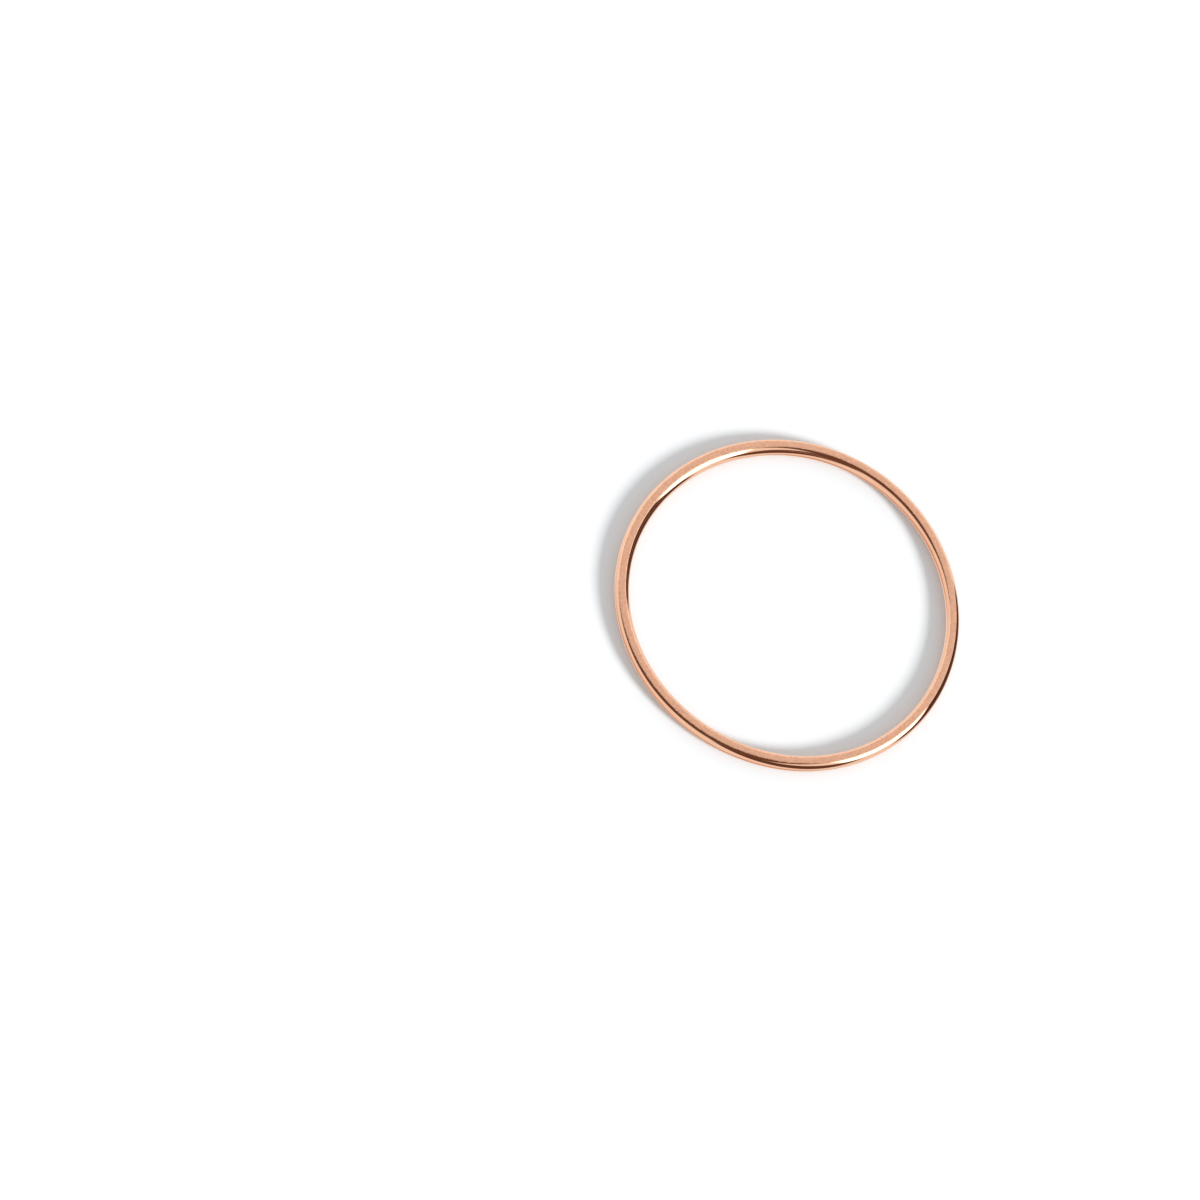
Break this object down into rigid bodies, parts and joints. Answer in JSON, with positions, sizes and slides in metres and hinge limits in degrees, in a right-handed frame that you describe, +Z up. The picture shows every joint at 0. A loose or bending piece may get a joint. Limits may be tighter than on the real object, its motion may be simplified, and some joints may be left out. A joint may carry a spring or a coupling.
{
  "type": "stackable ring",
  "caption": "Thin plain stackable finger ring in rose gold, with rounded polished walls and a narrow satin flat on each side.",
  "frame": {"origin": "middle of the finger hole, in the plane of the flat side on which the ring rests", "axes": "+Z up along the ring's axis; the ring is the same all round, so X and Y point anywhere in the plane"},
  "size_m": [0.0188, 0.0188, 0.0008],
  "materials": {
    "rose_gold": null
  },
  "bodies": {
    "root": {"ring_band": "rose_gold"}
  },
  "joints": []
}
